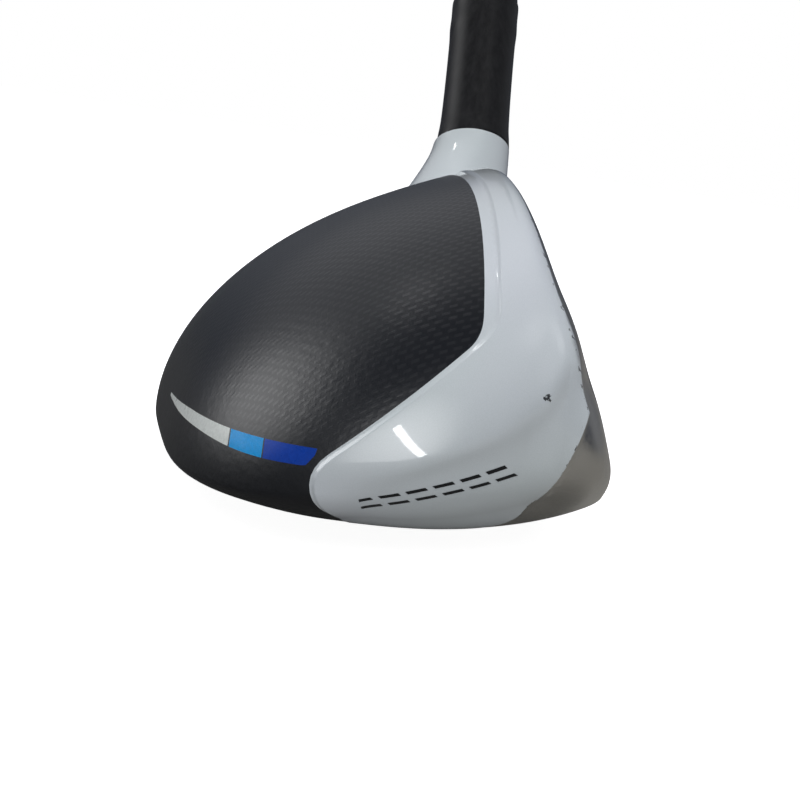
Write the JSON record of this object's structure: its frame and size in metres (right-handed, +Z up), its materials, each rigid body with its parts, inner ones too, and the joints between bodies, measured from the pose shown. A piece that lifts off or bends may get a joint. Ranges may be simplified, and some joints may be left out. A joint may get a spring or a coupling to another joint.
{
  "type": "hybrid golf club",
  "caption": "Right-handed hybrid golf club: white steel head with a black crown plate, bulged face, slotted sole, long ferrule, tapered graphite shaft and rubber grip.",
  "frame": {"origin": "middle of the flat patch under the sole, on the ground, with the club standing in its address position", "axes": "+Z up from the ground, +X from toe to heel and the way the shaft leans, -Y the way the face looks"},
  "size_m": [0.5985, 0.0591, 0.8933],
  "materials": {
    "head_body": "gloss white pearl paint on cast steel",
    "face_plate": "satin, fine score lines",
    "crown_plate": "satin black with a faint brick-like weave print",
    "sole_plate": "satin, worn",
    "slot_insert": "matte black filler",
    "band_light": "gloss light grey",
    "band_sky": "gloss sky blue",
    "band_royal": "gloss royal blue",
    "ferrule": "satin black",
    "shaft": "gloss lacquer on graphite",
    "tip_weight": "turned brass",
    "grip_tape": "double-sided tape",
    "grip_sleeve": "matte black, small moulded dashes",
    "grip_cap": "matte black"
  },
  "bodies": {
    "root": {"head_body": "head_body", "face_plate": "face_plate", "crown_plate": "crown_plate", "sole_plate": "sole_plate", "slot_insert": "slot_insert", "band_light": "band_light", "band_sky": "band_sky", "band_royal": "band_royal", "ferrule": "ferrule", "shaft": "shaft", "tip_weight": "tip_weight", "grip_tape": "grip_tape", "grip_sleeve": "grip_sleeve", "grip_cap": "grip_cap"}
  },
  "joints": []
}
